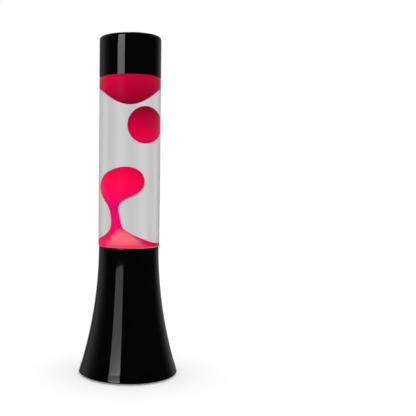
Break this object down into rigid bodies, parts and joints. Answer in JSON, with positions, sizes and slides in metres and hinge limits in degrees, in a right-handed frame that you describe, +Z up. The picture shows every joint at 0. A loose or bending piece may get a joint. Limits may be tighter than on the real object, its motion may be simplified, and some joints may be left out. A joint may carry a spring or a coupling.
{
  "type": "lava lamp",
  "caption": "Lava lamp: clear glass bottle of liquid and pink-red wax between a flared gloss black base with a bulb and a matching lift-off cap.",
  "frame": {"origin": "centre of the base's outline on the surface the rubber feet stand on", "axes": "+Z up along the bottle's axis; -Y front, the side in the picture; +Y rear, where the cord inlet is"},
  "size_m": [0.1032, 0.1032, 0.35],
  "materials": {
    "gloss_black": "gloss",
    "plate_black": "satin",
    "zinc_steel": "satin",
    "foot_rubber": "matte",
    "brass": "satin",
    "holder_black": "satin",
    "ceramic_cream": "satin",
    "bulb_glass": "gloss",
    "bulb_metal": "satin",
    "tungsten": "satin",
    "clear_glass": "gloss",
    "crown_gold": "gloss",
    "liner_grey": "matte",
    "clear_liquid": "gloss",
    "pink_wax": "satin",
    "magenta_wax": "satin",
    "red_wax": "satin"
  },
  "bodies": {
    "base": {"base_shell": "gloss_black", "base_plate": "plate_black", "base_plate_screws": "zinc_steel", "foot_1": "foot_rubber", "foot_2": "foot_rubber", "foot_3": "foot_rubber", "foot_4": "foot_rubber", "cord_grommet": "foot_rubber", "holder_bracket": "zinc_steel", "bracket_rivets": "zinc_steel", "holder_nipple": "brass", "holder_nuts": "zinc_steel", "lampholder_skirt": "holder_black", "lampholder_core": "ceramic_cream", "lampholder_shell": "brass", "lampholder_contact": "brass", "terminal_screws": "brass", "earth_tab": "brass", "earth_screw": "zinc_steel"},
    "bulb_lift": {"bulb_contact": "bulb_metal"},
    "bulb": {"bulb_envelope": "bulb_glass", "bulb_cap": "bulb_metal", "bulb_insulator": "holder_black", "bulb_stem": "clear_glass", "bulb_wires": "zinc_steel", "bulb_filament": "tungsten"},
    "globe": {"glass_bottle": "clear_glass", "crown_cap": "crown_gold", "crown_liner": "liner_grey", "lamp_liquid": "clear_liquid", "wax_column": "pink_wax", "wax_pool": "red_wax", "wire_coil": "zinc_steel"},
    "wax_drop": {"wax_drop": "magenta_wax"},
    "top_cap": {"top_cap": "gloss_black"}
  },
  "joints": [
    {"name": "globe_lift", "type": "slide", "parent": "base", "child": "globe", "axis": [0, 0, 1], "range_m": [0, 0.06]},
    {"name": "cap_lift", "type": "slide", "parent": "globe", "child": "top_cap", "axis": [0, 0, 1], "range_m": [0, 0.05]},
    {"name": "drop_rise", "type": "slide", "parent": "globe", "child": "wax_drop", "axis": [0, 0, 1], "range_m": [-0.018, 0.004], "deforming": ["lamp_liquid"]},
    {"name": "bulb_rise", "type": "slide", "parent": "base", "child": "bulb_lift", "axis": [0, 0, 1], "range_m": [0, 0.0128]},
    {"name": "bulb_turn", "type": "hinge", "parent": "bulb_lift", "child": "bulb", "pos_m": [0, 0, 0.05], "axis": [0, 0, 1], "range_deg": [0, 1620]}
  ],
  "couplings": [
    {"joint": "bulb_rise", "follows": "bulb_turn", "m_per_rad": 0.00044914}
  ]
}
